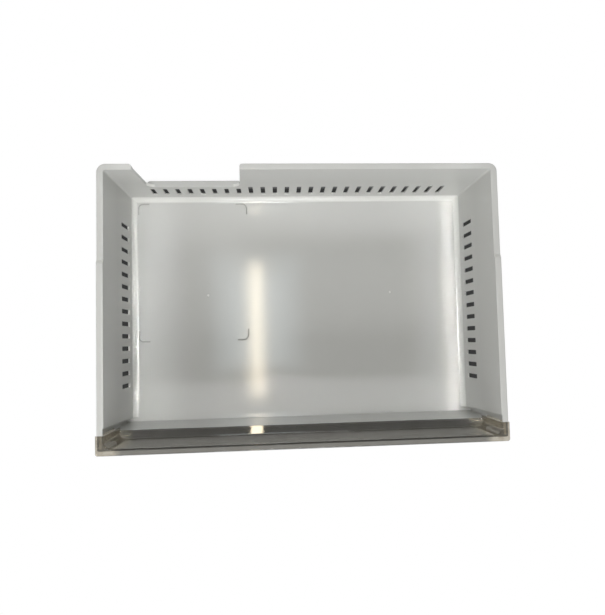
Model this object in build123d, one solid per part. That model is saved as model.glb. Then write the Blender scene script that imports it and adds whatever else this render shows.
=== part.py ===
from build123d import *
import os
from math import radians, tan

os.makedirs("parts", exist_ok=True)

# A wide refrigerator drawer: a white moulded tub with vent slots and a cut-out in its back wall, and a clear
# front cover that sits on the tub's low front wall.
# Millimetres. +X is the drawer's right, -Y its front, +Z up. The origin is under the middle of the drawer.

# Overall sizes
WIDTH = 602.0  # over the ends of the front cover
DEPTH = 420.0  # back of the rim to the front of the pull lip
HEIGHT = 137.5  # underside to the top of the rim and the cover
COVER_DEPTH = 28.5  # how far the front cover stands in front of the tub's side walls

# Tub walls
WALL = 2.5
FLOOR = 2.5
DRAFT = 2.0  # degrees, every wall leans outward
FOOT_RADIUS = 9.0  # between the floor and the walls
CORNER_RADIUS = 3.0  # between the side walls and the back wall
LOW_WALL = 66.5  # inside height of the low front wall

# Rim: a flat flange with a lip turned down at its outer edge
RIM_WIDTH = 9.5  # along the sides
RIM_BACK_WIDTH = 8.5
RIM_INSET = 2.5  # the rim stays this far inside the ends of the cover
RIM_LIP = 8.0
RIM_STEP = 2.5  # the rear part of the rim lies this much lower
RIM_STEP_PLACE = 140.5  # from the back of the rim
RIM_RAMP = 5.0  # length of the slope between the two levels

# Front frame: the side walls step out to the rim's width just behind the cover
FRAME_POCKET = 5.5  # depth of the step at the floor, front to back
FRAME_INSET = 0.5  # the frame stays this far inside the rim's outer edge
FRONT_WALL_PLACE = 1.5  # inside face of the low front wall at the floor, in front of the joint with the cover

# Vent slots
SLOT_PITCH = 20.0
SLOT_WIDTH = 7.2
SLOT_HEIGHT = 36.0
SLOT_SILL = 20.0  # above the floor
SLOT_CORNER = 1.2
BACK_SLOT_MARGIN = 40.0  # least distance of a back slot from the side walls
SIDE_SLOT_REAR = 57.5  # first side slot from the back wall
SIDE_SLOT_FRONT = 60.0  # least distance of a side slot from the front wall

# Cut-out in the back wall
NOTCH_PLACE = 49.5  # from the left edge of the rim
NOTCH_WIDTH = 157.5  # at the rim
NOTCH_SILL = 57.0  # above the floor
NOTCH_LEAN = 4.0  # degrees, the cut-out narrows downward
NOTCH_RADIUS = 14.0  # lower corners
NOTCH_SIDE = 4.5  # depth of the flange round the cut-out
NOTCH_LIP = 6.0
NOTCH_LIP_WIDTH = 10.0
NOTCH_LIP_RADIUS = 4.0
NOTCH_SLOT_GAP = 9.5  # slots below the cut-out stop this far under its sill

# Marks moulded on the floor
MARK_HEIGHT = 1.5
MARK_WIDTH = 1.6
MARK_LEG = 18.0
MARK_RADIUS = 8.0
MARK_AREA_WIDTH = 184.0
MARK_AREA_DEPTH = 236.0
MARK_BACK_GAP = 1.5  # from the edge of the back fillet
GATE_DIAMETER = 4.0
GATE_SPACING = 316.0
GATE_HEIGHT = 0.5
GATE_PLACE = 182.5  # from the back of the rim

# Front cover
COVER_WALL = 3.0
COVER_GAP = 0.3  # between the cover and the tub
LEDGE_RISE = 1.0  # the ledge climbs this much toward the front
PANEL_LEAN = 1.0  # degrees, the panel leans forward
LIP_THICKNESS = 3.5
LIP_CHAMFER = 1.2  # upper edges of the cover
LIP_REACH = 6.5  # the lip stands this far in front of the panel
COVER_CORNER = 4.0  # corners of the lip, seen from above
PANEL_CORNER = 2.4  # front edges of the panel's ends
COVER_FOOT = 1.0  # the cover ends this far above the underside
LEDGE_FILLET = 2.5  # between the ledge, the panel and the cheeks
BAY_CORNER = 12.0  # upright corners between the panel and the cheeks

# Places that follow from the sizes above
SLOPE = tan(radians(DRAFT))
BACK = DEPTH / 2
FRONT = -DEPTH / 2
JOINT = FRONT + COVER_DEPTH
INSIDE_HEIGHT = HEIGHT - FLOOR
RIM_HALF = WIDTH / 2 - RIM_INSET
INNER_HALF = RIM_HALF - RIM_WIDTH  # inside half width at the rim
INNER_BACK = BACK - RIM_BACK_WIDTH  # inside face of the back wall at the rim
INNER_FRONT = JOINT - FRONT_WALL_PLACE - INSIDE_HEIGHT * SLOPE  # inside of the front wall, at the rim
LOW_TOP = FLOOR + LOW_WALL
LEDGE_BACK_TOP = LOW_TOP + COVER_GAP + COVER_WALL  # upper face of the ledge, at its back edge
MARGIN = 20.0  # how far cutting tools reach past what they cut


def inside_lean(z):
    """How far a drafted wall at height z lies inside its place at the rim."""
    return (HEIGHT - z) * SLOPE


def front_wall(z, offset):
    """Y of the front wall's inside face at height z, moved forward by an offset."""
    return INNER_FRONT + inside_lean(z) - offset


def side_block(points, half):
    """A Y-Z outline drawn across the drawer, from -half to half."""
    profile = Plane.YZ.offset(-half) * make_face(Polyline(*points, close=True))
    return extrude(profile, 2 * half)


def upright_edges(block):
    """Edges that run upward, from the front of the block to its back."""
    return block.edges().filter_by(lambda edge: edge.bounding_box().size.Z > edge.length / 2).sort_by(Axis.Y)


def drafted_block(bottom, top, offset):
    """The space inside the drafted walls, moved outward by an offset, with round rear corners and foot."""
    half_low = INNER_HALF - inside_lean(bottom) + offset
    half_top = INNER_HALF - inside_lean(top) + offset
    back_low = INNER_BACK - inside_lean(bottom) + offset
    back_top = INNER_BACK - inside_lean(top) + offset
    across = [(-half_low, bottom), (half_low, bottom), (half_top, top), (-half_top, top)]
    along = [
        (back_low, bottom),
        (front_wall(bottom, offset), bottom),
        (front_wall(top, offset), top),
        (back_top, top),
    ]
    profile = Plane.XZ.offset(-DEPTH) * make_face(Polyline(*across, close=True))
    block = extrude(profile, 2 * DEPTH) & side_block(along, WIDTH)
    block = fillet(block.edges().group_by(Axis.Z)[0].sort_by(Axis.Y)[1:], FOOT_RADIUS + offset)
    return fillet(upright_edges(block)[-2:], CORNER_RADIUS + offset)


def rim_outline(half, back):
    """Outline of the rim seen from above, with this half width and back edge."""
    front = JOINT - MARGIN
    outline = Pos(0, (back + front) / 2) * Rectangle(2 * half, back - front)
    return fillet(outline.vertices().group_by(Axis.Y)[-1], CORNER_RADIUS + half - INNER_HALF)


def rim_line(drop):
    """Height line of the rim from back to front, lowered by a drop."""
    step = BACK - RIM_STEP_PLACE
    return [
        (BACK + MARGIN, HEIGHT - RIM_STEP - drop),
        (step, HEIGHT - RIM_STEP - drop),
        (step - RIM_RAMP, HEIGHT - drop),
        (JOINT, HEIGHT - drop),
    ]


def rim_band(thickness):
    """A band of this thickness under the rim line, across the whole drawer."""
    return side_block(rim_line(0) + rim_line(thickness)[::-1], WIDTH)


def rim():
    """Flange and turned-down lip along both sides and the back, open at the cut-out."""
    left, right = notch_span(HEIGHT - RIM_STEP)
    gap = Pos((left + right) / 2, BACK) * Rectangle(right - left, 2 * RIM_BACK_WIDTH)
    outer = rim_outline(RIM_HALF, BACK) - gap
    rim_ends = outer.vertices().group_by(Axis.Y)[-1].sort_by(Axis.X)[1:3]
    outer = fillet(rim_ends, RIM_BACK_WIDTH - NOTCH_SIDE)
    flange = outer - rim_outline(INNER_HALF + WALL / 2, INNER_BACK + WALL / 2)
    lip = flange - offset(outer, -WALL)
    return (extrude(flange, HEIGHT) & rim_band(WALL)) + (extrude(lip, HEIGHT) & rim_band(RIM_LIP))


def frame_block(half, bottom, offset):
    """The stepped-out front end of the tub, as a block, moved outward by an offset. It widens upward."""
    rear = JOINT + FRAME_POCKET + offset
    points = [
        (rear + (bottom - FLOOR) * SLOPE, bottom),
        (front_wall(bottom, offset), bottom),
        (front_wall(HEIGHT, offset), HEIGHT),
        (rear + INSIDE_HEIGHT * SLOPE, HEIGHT),
    ]
    return side_block(points, half)


def tub_shell():
    """Walls, floor and front frame, with the front wall cut down behind the cover."""
    frame_half = RIM_HALF - FRAME_INSET
    outer = drafted_block(0, HEIGHT, WALL) + frame_block(frame_half, 0, WALL)
    inner = drafted_block(FLOOR, HEIGHT + MARGIN, 0) + frame_block(frame_half - WALL, FLOOR, 0)
    above_rim = side_block(rim_line(0) + [(JOINT, HEIGHT + MARGIN), (BACK + MARGIN, HEIGHT + MARGIN)], WIDTH)
    low_front = [
        (JOINT, LOW_TOP),
        (FRONT - MARGIN, LOW_TOP),
        (FRONT - MARGIN, HEIGHT + MARGIN),
        (JOINT, HEIGHT + MARGIN),
    ]
    return outer - inner - above_rim - side_block(low_front, WIDTH)


def notch_span(z):
    """Left and right X of the back cut-out at height z."""
    left = NOTCH_PLACE - RIM_HALF
    narrow = (HEIGHT - z) * tan(radians(NOTCH_LEAN))
    return left + narrow, left + NOTCH_WIDTH - narrow


def notch_outline():
    """The cut-out seen from the front, open past the top of the tub."""
    sill = FLOOR + NOTCH_SILL
    top = HEIGHT + MARGIN
    low_left, low_right = notch_span(sill)
    top_left, top_right = notch_span(top)
    corners = [(low_left, sill), (low_right, sill), (top_right, top), (top_left, top)]
    outline = make_face(Polyline(*corners, close=True))
    return fillet(outline.vertices().group_by(Axis.Y)[0], NOTCH_RADIUS)


def through_back(outline):
    """An outline seen from the front, carried through the back wall and its rim."""
    reach = RIM_BACK_WIDTH + inside_lean(0) + MARGIN
    return extrude(Plane.XZ.offset(-BACK - MARGIN) * outline, reach + MARGIN)


def notch_flange():
    """Flange round the cut-out, which follows the lean of the back wall."""
    low = FLOOR + NOTCH_SILL - MARGIN
    top = HEIGHT - RIM_STEP
    inside_low = INNER_BACK - inside_lean(low)
    inside_top = INNER_BACK - inside_lean(top)
    band = [
        (inside_low, low),
        (inside_low + NOTCH_SIDE, low),
        (inside_top + NOTCH_SIDE, top),
        (inside_top, top),
    ]
    ring = through_back(offset(notch_outline(), WALL) - notch_outline())
    return ring & side_block(band, WIDTH)


def notch_rim():
    """Wider flange and lip along the sill of the cut-out."""
    sill = FLOOR + NOTCH_SILL
    left, right = notch_span(sill + NOTCH_RADIUS)
    inside = INNER_BACK - inside_lean(sill)
    width = right - left
    plate = Pos((left + right) / 2, inside + NOTCH_LIP_WIDTH / 2) * Rectangle(width, NOTCH_LIP_WIDTH)
    plate = fillet(plate.vertices().group_by(Axis.Y)[-1], NOTCH_LIP_RADIUS)
    depth = NOTCH_LIP_WIDTH - WALL
    core = Pos((left + right) / 2, inside + depth / 2) * Rectangle(width - 2 * WALL, depth)
    flange = extrude(Pos(0, 0, sill) * plate, -WALL)
    lip = extrude(Pos(0, 0, sill) * (plate - core), -NOTCH_LIP)
    return flange + lip


def slot(height):
    """One slot as a flat outline standing on its lower edge."""
    return Pos(0, height / 2) * RectangleRounded(SLOT_WIDTH, height, SLOT_CORNER)


def back_slots():
    """Slots through the back wall, shorter under the cut-out."""
    sill = FLOOR + SLOT_SILL
    room = INNER_HALF - inside_lean(sill) - BACK_SLOT_MARGIN
    each_side = int(room // SLOT_PITCH)
    left, right = notch_span(HEIGHT)
    reach = RIM_BACK_WIDTH + inside_lean(0) + MARGIN
    cuts = []
    for index in range(-each_side, each_side + 1):
        x = index * SLOT_PITCH
        height = SLOT_HEIGHT
        if left < x < right:
            height = min(SLOT_HEIGHT, NOTCH_SILL - NOTCH_SLOT_GAP - SLOT_SILL)
        outline = Plane.XZ.offset(-BACK) * Pos(x, sill) * slot(height)
        cuts.append(extrude(outline, reach))
    return cuts


def side_slots():
    """Slots across the drawer, each through both side walls."""
    sill = FLOOR + SLOT_SILL
    first = INNER_BACK - inside_lean(sill) - SIDE_SLOT_REAR
    room = first - front_wall(sill, 0) - SIDE_SLOT_FRONT
    cuts = []
    for index in range(int(room // SLOT_PITCH) + 1):
        outline = Plane.YZ.offset(-WIDTH / 2) * Pos(first - index * SLOT_PITCH, sill) * slot(SLOT_HEIGHT)
        cuts.append(extrude(outline, WIDTH))
    return cuts


def corner_mark():
    """One raised corner line on the floor, its corner at the origin and its legs along +X and -Y."""
    path = FilletPolyline((0, -MARK_LEG), (0, 0), (MARK_LEG, 0), radius=MARK_RADIUS)
    line = trace(path, MARK_WIDTH)
    return extrude(line, FLOOR / 2 + MARK_HEIGHT)


def floor_marks():
    """Four corner lines round the left half of the floor, and two round gate marks."""
    base = FLOOR / 2
    left = -INNER_HALF + inside_lean(FLOOR) + FOOT_RADIUS + MARK_WIDTH / 2
    back = INNER_BACK - inside_lean(FLOOR) - FOOT_RADIUS - MARK_BACK_GAP
    right = left + MARK_AREA_WIDTH
    front = back - MARK_AREA_DEPTH
    corners = [(left, back, 0), (right, back, -90), (right, front, 180), (left, front, 90)]
    marks = [Pos(x, y, base) * Rot(0, 0, turn) * corner_mark() for x, y, turn in corners]
    for side in (-1, 1):
        disc = Pos(side * GATE_SPACING / 2, BACK - GATE_PLACE, base) * Circle(GATE_DIAMETER / 2)
        marks.append(extrude(disc, FLOOR / 2 + GATE_HEIGHT))
    return marks


def drawer_tub():
    """The white moulding."""
    tub = tub_shell()
    for cut in back_slots() + side_slots():
        tub -= cut
    tub = tub - through_back(notch_outline()) + rim() + notch_flange() + notch_rim()
    return tub + floor_marks()


def panel_back(z):
    """Y of the clear panel's inside face at height z."""
    top = FRONT + LIP_REACH + COVER_WALL
    return top + (HEIGHT - z) * tan(radians(PANEL_LEAN))


def front_panel():
    """The clear front, over the whole height of the drawer."""
    points = [
        (panel_back(COVER_FOOT), COVER_FOOT),
        (panel_back(COVER_FOOT) - COVER_WALL, COVER_FOOT),
        (panel_back(HEIGHT) - COVER_WALL, HEIGHT),
        (panel_back(HEIGHT), HEIGHT),
    ]
    panel = side_block(points, RIM_HALF)
    return fillet(upright_edges(panel)[:2], PANEL_CORNER)


def top_plate():
    """Flat top of the cover: the pull lip along the front and the two ends that carry on the rim."""
    rear = JOINT - COVER_GAP
    plate = Pos(0, (rear + FRONT) / 2) * Rectangle(WIDTH, rear - FRONT)
    plate = fillet(plate.vertices().group_by(Axis.Y)[0], COVER_CORNER)
    plate = extrude(Pos(0, 0, HEIGHT) * plate, -LIP_THICKNESS)
    return chamfer(plate.edges().group_by(Axis.Z)[-1].sort_by(Axis.Y)[:-1], LIP_CHAMFER)


def ledge_top(y):
    """Height of the ledge's upper face at a place between its back and the panel."""
    rear = front_wall(LEDGE_BACK_TOP, 0)
    return LEDGE_BACK_TOP + LEDGE_RISE * (rear - y) / (rear - panel_back(LEDGE_BACK_TOP))


def ledge():
    """Shelf of the cover, which rests on the low front wall, with stock for the fillets above it."""
    rear = front_wall(LEDGE_BACK_TOP, 0)
    front = panel_back(LEDGE_BACK_TOP) - COVER_WALL / 2
    points = [
        (rear, ledge_top(rear) - COVER_WALL),
        (front, ledge_top(front) - COVER_WALL),
        (front, ledge_top(front) + LEDGE_FILLET),
        (rear, ledge_top(rear) + LEDGE_FILLET),
    ]
    return side_block(points, INNER_HALF)


def bay_space():
    """The space above the ledge, between the cheeks and behind the panel, with round corners."""
    low = LOW_TOP
    top = HEIGHT + MARGIN
    half_low = INNER_HALF - inside_lean(low)
    half_top = INNER_HALF - inside_lean(top)
    across = [(-half_low, low), (half_low, low), (half_top, top), (-half_top, top)]
    front = panel_back(LEDGE_BACK_TOP)
    along = [
        (JOINT, ledge_top(JOINT)),
        (front, ledge_top(front)),
        (panel_back(top), top),
        (JOINT, top),
    ]
    profile = Plane.XZ.offset(-JOINT) * make_face(Polyline(*across, close=True))
    space = extrude(profile, COVER_DEPTH) & side_block(along, WIDTH)
    space = fillet(upright_edges(space)[:2], BAY_CORNER)
    foot = space.faces().sort_by(Axis.Z)[0].edges().sort_by(Axis.Y)[:-1]
    return fillet(foot, LEDGE_FILLET)


def bay_post():
    """Stock for the right upright corner of the bay."""
    left = INNER_HALF - inside_lean(LOW_TOP) - BAY_CORNER
    right = INNER_HALF
    rear = panel_back(LOW_TOP) + BAY_CORNER
    front = panel_back(HEIGHT) - COVER_WALL / 2
    bottom = LEDGE_BACK_TOP - COVER_WALL / 2
    top = HEIGHT - LIP_THICKNESS / 2
    post = Pos((left + right) / 2, (front + rear) / 2, bottom) * Rectangle(right - left, rear - front)
    return extrude(post, top - bottom)


def cover_cheek():
    """Right inner side wall of the cover, which carries on the tub's side wall above the ledge."""
    foot = LOW_TOP + COVER_GAP
    points = [
        (INNER_HALF - inside_lean(foot), foot),
        (INNER_HALF - inside_lean(foot) + COVER_WALL, foot),
        (INNER_HALF + COVER_WALL, HEIGHT - LIP_THICKNESS / 2),
        (INNER_HALF, HEIGHT - LIP_THICKNESS / 2),
    ]
    rear = JOINT - COVER_GAP
    profile = Plane.XZ.offset(-rear) * make_face(Polyline(*points, close=True))
    return extrude(profile, rear - panel_back(HEIGHT) + COVER_WALL / 2)


def cover_end():
    """Right end wall of the cover, flush with the tub's front frame."""
    behind = front_wall(LOW_TOP, WALL) - COVER_GAP
    shoulder = LOW_TOP + COVER_GAP
    front = COVER_WALL / 2
    points = [
        (behind, COVER_FOOT),
        (panel_back(COVER_FOOT) - front, COVER_FOOT),
        (panel_back(HEIGHT) - front, HEIGHT - LIP_THICKNESS / 2),
        (JOINT - COVER_GAP, HEIGHT - LIP_THICKNESS / 2),
        (JOINT - COVER_GAP, shoulder),
        (behind, shoulder),
    ]
    outline = make_face(Polyline(*points, close=True))
    return extrude(Plane.YZ.offset(RIM_HALF) * outline, -COVER_WALL)


def front_cover():
    """The clear moulding, with a soft edge behind the pull lip."""
    side = cover_cheek() + cover_end() + bay_post()
    cover = front_panel() + top_plate() + ledge() + side + mirror(side, Plane.YZ)
    cover -= bay_space()
    return chamfer(cover.edges().sort_by_distance((0, panel_back(HEIGHT), HEIGHT))[0], LIP_CHAMFER)


export_step(drawer_tub(), "parts/drawer_tub.step")
export_step(front_cover(), "parts/front_cover.step")
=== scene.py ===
from math import radians

import bpy
from mathutils import Matrix, Vector


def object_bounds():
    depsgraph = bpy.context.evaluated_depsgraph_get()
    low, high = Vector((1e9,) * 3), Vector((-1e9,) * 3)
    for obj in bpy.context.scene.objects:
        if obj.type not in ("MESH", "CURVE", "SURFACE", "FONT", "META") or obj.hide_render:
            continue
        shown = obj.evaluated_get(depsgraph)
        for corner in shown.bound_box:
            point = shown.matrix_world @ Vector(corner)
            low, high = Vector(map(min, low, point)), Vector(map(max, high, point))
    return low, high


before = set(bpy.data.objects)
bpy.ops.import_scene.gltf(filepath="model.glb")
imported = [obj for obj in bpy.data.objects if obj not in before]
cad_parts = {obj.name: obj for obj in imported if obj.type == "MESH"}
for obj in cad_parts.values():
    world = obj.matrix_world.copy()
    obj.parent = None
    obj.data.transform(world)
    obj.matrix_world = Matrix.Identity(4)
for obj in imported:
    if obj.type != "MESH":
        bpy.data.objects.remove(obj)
cad_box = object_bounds()

# Camera: measures in the picture are in pixels, the place is in metres and the turns are in radians
PICTURE_WIDTH = 605.0
FOCAL_LENGTH = 494.696
CENTRE_SHIFT = (5.65, 7.55)
CAMERA_PLACE = (-0.0408, -0.0519, 0.8596)
CAMERA_TURNS = (-0.0489, 0.0628, 0.0212)
SENSOR_MM = 36.0

# Plain colours
WHITE = (1.0, 1.0, 1.0, 1.0)
WARM = (1.0, 0.85, 0.62, 1.0)
COOL = (0.8, 0.93, 1.0, 1.0)

# Lamps: place in metres, what they face, size in metres, spread in degrees, power in watts and colour
BELOW = "the point below the lamp"
ORIGIN = "the origin"
LAMPS = {
    "tube": ((-0.143, 0.0, 1.6), BELOW, (0.053, 0.66), 180, 2.4, WARM),
    "panel": ((-0.14, 0.06, 1.61), BELOW, (0.28, 0.44), 180, 0.71, COOL),
    "panel_edge": ((-0.14, 0.09, 1.62), BELOW, (0.44, 0.58), 180, 1.47, COOL),
    "top": ((0.05, 0.1, 1.75), BELOW, (2.2, 1.9), 180, 3.0, WHITE),
    "left": ((-1.5, -0.1, 1.5), ORIGIN, (0.8, 0.8), 180, 7.1, WHITE),
    "front": ((0.0, -1.9, 1.15), ORIGIN, (0.8, 0.8), 180, 20.7, WHITE),
    "back": ((0.0, 1.6, 1.5), ORIGIN, (0.8, 0.8), 180, 5.7, WHITE),
    "left_strip": ((-0.25, -0.01, 0.5), BELOW, (0.03, 0.42), 16, 0.025, WHITE),
    "right_strip": ((0.25, 0.0, 0.5), BELOW, (0.03, 0.42), 16, 0.015, WHITE),
    "back_strip": ((0.0, 0.17, 0.5), BELOW, (0.54, 0.03), 16, 0.022, WHITE),
    "front_strip": ((0.0, -0.152, 0.3), BELOW, (0.54, 0.06), 5.6, 0.013, WHITE),
    "right_edge": ((0.266, -0.01, 0.5), BELOW, (0.012, 0.4), 4, 0.0115, WHITE),
    "left_edge": ((-0.28, 0.0, 0.5), BELOW, (0.004, 0.36), 1.6, 0.0037, WHITE),
}
WORLD_LIGHT = 0.12

# Floor: half its side and how far it lies below the drawer, in metres, and its grey for the light that it
# throws back
FLOOR_HALF = 6.0
FLOOR_DROP = 0.0002
FLOOR_GREY = (0.75, 0.75, 0.75, 1.0)

# Contact shade: middle and half size of the dark area under the drawer, how far it fades out beyond that, in
# metres, and the light left in it. The third numbers are for the height, which is always 0 here.
FOOT_CENTRE = (0.0, 0.003, 0.0)
FOOT_HALF = (0.306, 0.209, 1.0)
SHADE_FADE = (0.04, 0.02, 1.0)
SHADE_LIGHT = 0.04

# Heights in metres: the tops of the floor's gate marks and raised lines, each with a margin, the tub's rim,
# where the painted light that makes the walls paler toward it begins, and where the painted shade on the
# cover's pull lip begins and is fully dark
GATE_TOP = 0.003
GATE_MARGIN = 0.0003
LINE_TOP = 0.004
LINE_MARGIN = 0.0006
RIM_HEIGHT = cad_box[1][2]
PAINTED_LIGHT_START_HEIGHT = RIM_HEIGHT - 0.06
LIP_START = RIM_HEIGHT - 0.0065
LIP_FULL = LIP_START + 0.002

# How far a face of the tub looks up, from 0 for a wall to 1 for the floor: where the painted light of a bend
# begins and where it is fully pale, coming from a wall and coming from the floor, and what counts as flat
BEND_FROM_WALL = (0.06, 0.35)
BEND_FROM_FLOOR = (0.999, 0.96)
FLAT = 0.99

# White plastic: the two tones of floor and walls, then the painted light of the rim and of the bends, the
# painted shade on the raised lines and the tone of the gate marks
TUB_TONES = ((0.595, 0.6, 0.584, 1.0), (0.635, 0.64, 0.624, 1.0))
RIM_PAINTED_LIGHT_TONE = (0.73, 0.735, 0.717, 1.0)
BEND_PAINTED_LIGHT_TONE = (0.82, 0.825, 0.8, 1.0)
LINE_PAINTED_SHADE_TONE = (0.44, 0.44, 0.425, 1.0)
GATE_TONE = (0.86, 0.86, 0.84, 1.0)

# Clear plastic: its two tones, the painted shade of the pull lip and how much of it shows, the two tones of
# the painted light at its flecked ends, and the distance from the middle where that painted light begins and
# is full, in metres
COVER_TONES = ((0.3, 0.285, 0.25, 1.0), (0.41, 0.41, 0.39, 1.0))
LIP_PAINTED_SHADE_TONE = (0.2, 0.195, 0.175, 1.0)
LIP_SHADE_SHARE = 0.55
END_PAINTED_LIGHT_TONES = ((0.46, 0.42, 0.34, 1.0), (0.66, 0.625, 0.54, 1.0))
END_PAINTED_LIGHT_REACH = (0.264, 0.278)

# Noise: scale and detail of each pattern, and the part of the flecks' range that is used
TUB_CLOUD = (9.0, 3.0)
TUB_GRAIN = (900.0, 2.0)
COVER_WAVE = (14.0, 1.0)
COVER_CLOUD = (45.0, 4.0)
END_FLECK = (150.0, 4.0)
FLECK_RANGE = (0.3, 0.7)

# Finish: least and most roughness, radius of the edges in metres and the samples for it, strength and depth
# of the relief, index of refraction, and the share of light that passes through
TUB_FINISH = {"rough": (0.09, 0.12), "edge": 0.0018, "samples": 6, "relief": 0.08, "depth": 0.0002,
              "ior": 1.49, "clear": 0.0}
COVER_FINISH = {"rough": (0.02, 0.05), "edge": 0.0005, "samples": 4, "relief": 0.1, "depth": 0.001,
                "ior": 1.57, "clear": 0.8}

# Sockets of the colour mix node, which share their names with others
MIX_FIRST = 6
MIX_SECOND = 7
MIX_RESULT = 2


class Nodes:
    """Short ways to add and join shader nodes."""

    def __init__(self, tree):
        self.tree = tree
        tree.nodes.clear()

    def add(self, kind, inputs=None, **settings):
        node = self.tree.nodes.new(kind)
        for name, value in settings.items():
            setattr(node, name, value)
        for name, value in (inputs or {}).items():
            self.join(value, node.inputs[name])
        return node

    def join(self, value, socket):
        if isinstance(value, bpy.types.NodeSocket):
            self.tree.links.new(value, socket)
        else:
            socket.default_value = value

    def math(self, operation, *values):
        return self.add("ShaderNodeMath", dict(enumerate(values)), operation=operation).outputs["Value"]

    def vector_math(self, operation, *values, output="Vector"):
        node = self.add("ShaderNodeVectorMath", dict(enumerate(values)), operation=operation)
        return node.outputs[output]

    def axes(self, vector):
        return self.add("ShaderNodeSeparateXYZ", {0: vector}).outputs

    def noise(self, place, pattern):
        scale, detail = pattern
        inputs = {"Vector": place, "Scale": scale, "Detail": detail}
        return self.add("ShaderNodeTexNoise", inputs).outputs["Fac"]

    def ramp(self, value, start_end=(0.0, 1.0), low_high=(0.0, 1.0), **settings):
        """Goes from low to high while the value goes from start to end."""
        inputs = {
            "Value": value,
            "From Min": start_end[0],
            "From Max": start_end[1],
            "To Min": low_high[0],
            "To Max": low_high[1],
        }
        return self.add("ShaderNodeMapRange", inputs, **settings).outputs["Result"]

    def blend(self, share, first, second):
        """Goes from the first colour to the second while the share goes from 0 to 1."""
        inputs = {"Factor": share, MIX_FIRST: first, MIX_SECOND: second}
        return self.add("ShaderNodeMix", inputs, data_type="RGBA").outputs[MIX_RESULT]


def new_material(name):
    material = bpy.data.materials.new(name)
    material.use_nodes = True
    return material, Nodes(material.node_tree)


def add_plastic(nodes, finish, colour, uneven, relief):
    """Glossy plastic with softened edges, uneven roughness and a faint relief."""
    edge = nodes.add("ShaderNodeBevel", {"Radius": finish["edge"]}, samples=finish["samples"])
    bump = nodes.add("ShaderNodeBump", {
        "Height": relief,
        "Strength": finish["relief"],
        "Distance": finish["depth"],
        "Normal": edge.outputs["Normal"],
    })
    shader = nodes.add("ShaderNodeBsdfPrincipled", {
        "Base Color": colour,
        "Roughness": nodes.ramp(uneven, low_high=finish["rough"]),
        "IOR": finish["ior"],
        "Transmission Weight": finish["clear"],
        "Normal": bump.outputs["Normal"],
    })
    nodes.add("ShaderNodeOutputMaterial", {"Surface": shader.outputs["BSDF"]})


def tub_colour_with_painted_light_and_shade(nodes, place, cloud):
    """White with painted light that makes it paler toward the rim and in the bends, painted shade on the
    raised lines, and pale gate marks.
    """
    height = nodes.axes(place)["Z"]
    upward = nodes.axes(nodes.add("ShaderNodeNewGeometry").outputs["Normal"])["Z"]
    low = nodes.blend(cloud, *TUB_TONES)
    # Painted light: the walls get paler toward the rim and the rim is paler still, as if more light fell
    # near the top
    tone = nodes.blend(nodes.ramp(height, (PAINTED_LIGHT_START_HEIGHT, RIM_HEIGHT)), low, RIM_PAINTED_LIGHT_TONE)

    # Painted light: faces that lean between wall and floor, the rounded bends, are made paler as if they
    # glowed
    level = nodes.math("ABSOLUTE", upward)
    bend_painted_light = nodes.math("MULTIPLY", nodes.ramp(level, BEND_FROM_WALL), nodes.ramp(level, BEND_FROM_FLOOR))
    tone = nodes.blend(bend_painted_light, tone, BEND_PAINTED_LIGHT_TONE)

    flat = nodes.math("GREATER_THAN", upward, FLAT)
    # Painted shade: the flat tops of the raised lines are greyed, standing in for the shade along their
    # sides
    line_painted_shade_mask = nodes.math("COMPARE", height, LINE_TOP, LINE_MARGIN)
    tone = nodes.blend(nodes.math("MULTIPLY", flat, line_painted_shade_mask), tone, LINE_PAINTED_SHADE_TONE)
    on_gate = nodes.math("COMPARE", height, GATE_TOP, GATE_MARGIN)
    return nodes.blend(nodes.math("MULTIPLY", flat, on_gate), tone, GATE_TONE)


def white_plastic():
    """Semi-gloss white moulding."""
    material, nodes = new_material("white_plastic")
    place = nodes.add("ShaderNodeTexCoord").outputs["Object"]
    cloud = nodes.noise(place, TUB_CLOUD)
    grain = nodes.noise(place, TUB_GRAIN)
    add_plastic(nodes, TUB_FINISH, tub_colour_with_painted_light_and_shade(nodes, place, cloud), cloud, grain)
    return material


def cover_colour_with_painted_light_and_shade(nodes, place):
    """Smoke with painted shade that darkens the pull lip, and painted light that makes the two ends warmer,
    lighter and flecked.
    """
    axes = nodes.axes(place)
    smoke = nodes.blend(nodes.noise(place, COVER_CLOUD), *COVER_TONES)
    # Painted shade: the cover darkens toward the top of the pull lip, standing in for dark surroundings seen
    # through it
    lip_painted_shade = nodes.ramp(axes["Z"], (LIP_START, LIP_FULL), (0.0, LIP_SHADE_SHARE))
    smoke = nodes.blend(lip_painted_shade, smoke, LIP_PAINTED_SHADE_TONE)

    # Painted light: the two ends get a warmer, lighter, flecked tone that stands in for the surroundings and
    # light seen through them
    fleck = nodes.ramp(nodes.noise(place, END_FLECK), FLECK_RANGE)
    end_painted_light = nodes.ramp(nodes.math("ABSOLUTE", axes["X"]), END_PAINTED_LIGHT_REACH)
    return nodes.blend(end_painted_light, smoke, nodes.blend(fleck, *END_PAINTED_LIGHT_TONES))


def clear_plastic():
    """Smoke-tinted clear moulding, a little cloudy and uneven."""
    material, nodes = new_material("clear_plastic")
    place = nodes.add("ShaderNodeTexCoord").outputs["Object"]
    wave = nodes.noise(place, COVER_WAVE)
    add_plastic(nodes, COVER_FINISH, cover_colour_with_painted_light_and_shade(nodes, place), wave, wave)
    return material


def plain_ray(nodes):
    """1 for rays that show the background: straight to the camera, mirrored or through clear plastic."""
    rays = nodes.add("ShaderNodeLightPath").outputs
    seen = nodes.math("MAXIMUM", rays["Is Camera Ray"], rays["Is Glossy Ray"])
    return nodes.math("MAXIMUM", seen, rays["Is Transmission Ray"])


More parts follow.
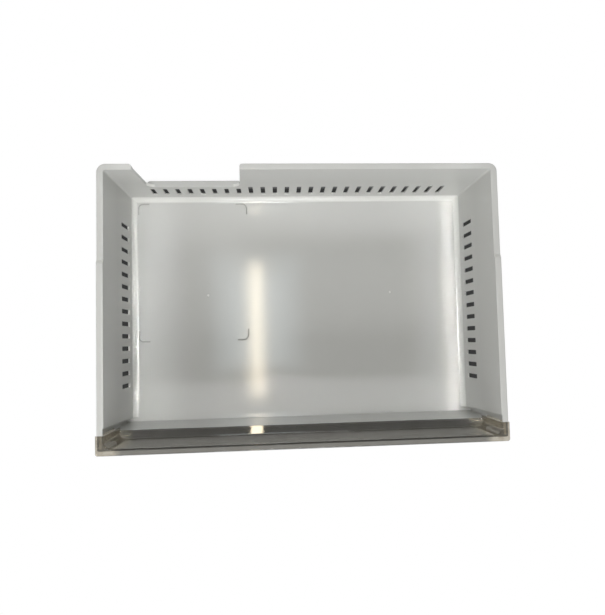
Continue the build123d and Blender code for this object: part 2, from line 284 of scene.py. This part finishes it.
def floor_material():
    """White where the floor is open and dark where the drawer stands close to it."""
    material, nodes = new_material("floor")
    place = nodes.add("ShaderNodeTexCoord").outputs["Object"]
    from_middle = nodes.vector_math("ABSOLUTE", nodes.vector_math("SUBTRACT", place, FOOT_CENTRE))
    beyond = nodes.vector_math("SUBTRACT", from_middle, FOOT_HALF)
    outside = nodes.vector_math("MAXIMUM", beyond, (0.0, 0.0, 0.0))
    faded = nodes.vector_math("DIVIDE", outside, SHADE_FADE)
    away = nodes.vector_math("LENGTH", faded, output="Value")
    shade = nodes.ramp(away, low_high=(SHADE_LIGHT, 1.0), interpolation_type="SMOOTHSTEP")
    shown = nodes.add("ShaderNodeEmission", {"Color": WHITE, "Strength": shade})
    matt = nodes.add("ShaderNodeBsdfDiffuse", {"Color": FLOOR_GREY})
    shader = nodes.add("ShaderNodeMixShader", {0: plain_ray(nodes), 1: matt.outputs[0], 2: shown.outputs[0]})
    nodes.add("ShaderNodeOutputMaterial", {"Surface": shader.outputs[0]})
    return material


def add_floor():
    """Pale floor, just below the drawer."""
    half = FLOOR_HALF
    corners = [(-half, -half, 0), (half, -half, 0), (half, half, 0), (-half, half, 0)]
    mesh = bpy.data.meshes.new("floor")
    mesh.from_pydata(corners, [], [(0, 1, 2, 3)])
    mesh.materials.append(floor_material())
    floor = bpy.data.objects.new("floor", mesh)
    floor.location.z = -FLOOR_DROP
    bpy.context.scene.collection.objects.link(floor)


def add_world():
    """Even grey light, white where the camera sees it."""
    world = bpy.data.worlds.new("world")
    world.use_nodes = True
    nodes = Nodes(world.node_tree)
    dim = nodes.add("ShaderNodeBackground", {"Color": WHITE, "Strength": WORLD_LIGHT})
    shown = nodes.add("ShaderNodeBackground", {"Color": WHITE, "Strength": 1.0})
    camera_ray = nodes.add("ShaderNodeLightPath").outputs["Is Camera Ray"]
    mix = nodes.add("ShaderNodeMixShader", {0: camera_ray, 1: dim.outputs[0], 2: shown.outputs[0]})
    nodes.add("ShaderNodeOutputWorld", {"Surface": mix.outputs[0]})
    bpy.context.scene.world = world


def add_lamp(name, place, faces, size, spread, power, colour):
    """A rectangular lamp that faces straight down or the origin."""
    data = bpy.data.lights.new(name, "AREA")
    data.shape = "RECTANGLE"
    data.size, data.size_y = size
    data.spread = radians(spread)
    data.energy = power
    data.color = colour[:3]
    lamp = bpy.data.objects.new(name, data)
    lamp.location = place
    toward = Vector((0, 0, -1)) if faces == BELOW else -Vector(place)
    lamp.rotation_euler = toward.to_track_quat("-Z", "Y").to_euler()
    bpy.context.scene.collection.objects.link(lamp)


def add_camera():
    """A camera that looks down into the drawer."""
    data = bpy.data.cameras.new("camera")
    data.sensor_fit = "HORIZONTAL"
    data.sensor_width = SENSOR_MM
    data.lens = FOCAL_LENGTH / PICTURE_WIDTH * SENSOR_MM
    data.shift_x = -CENTRE_SHIFT[0] / PICTURE_WIDTH
    data.shift_y = CENTRE_SHIFT[1] / PICTURE_WIDTH
    camera = bpy.data.objects.new("camera", data)
    turn_x, turn_y, turn_z = (Matrix.Rotation(angle, 3, axis) for angle, axis in zip(CAMERA_TURNS, "XYZ"))
    turn = turn_z @ turn_y @ turn_x
    camera.matrix_world = Matrix.Translation(CAMERA_PLACE) @ turn.transposed().to_4x4()
    bpy.context.scene.collection.objects.link(camera)
    bpy.context.scene.camera = camera


def dress(node, material):
    """Gives a CAD node one material."""
    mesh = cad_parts[node].data
    mesh.materials.clear()
    mesh.materials.append(material)


bpy.context.scene.view_settings.view_transform = "Standard"
add_camera()
add_world()
add_floor()
for lamp_name, lamp_values in LAMPS.items():
    add_lamp(lamp_name, *lamp_values)
dress("drawer_tub", white_plastic())
dress("front_cover", clear_plastic())
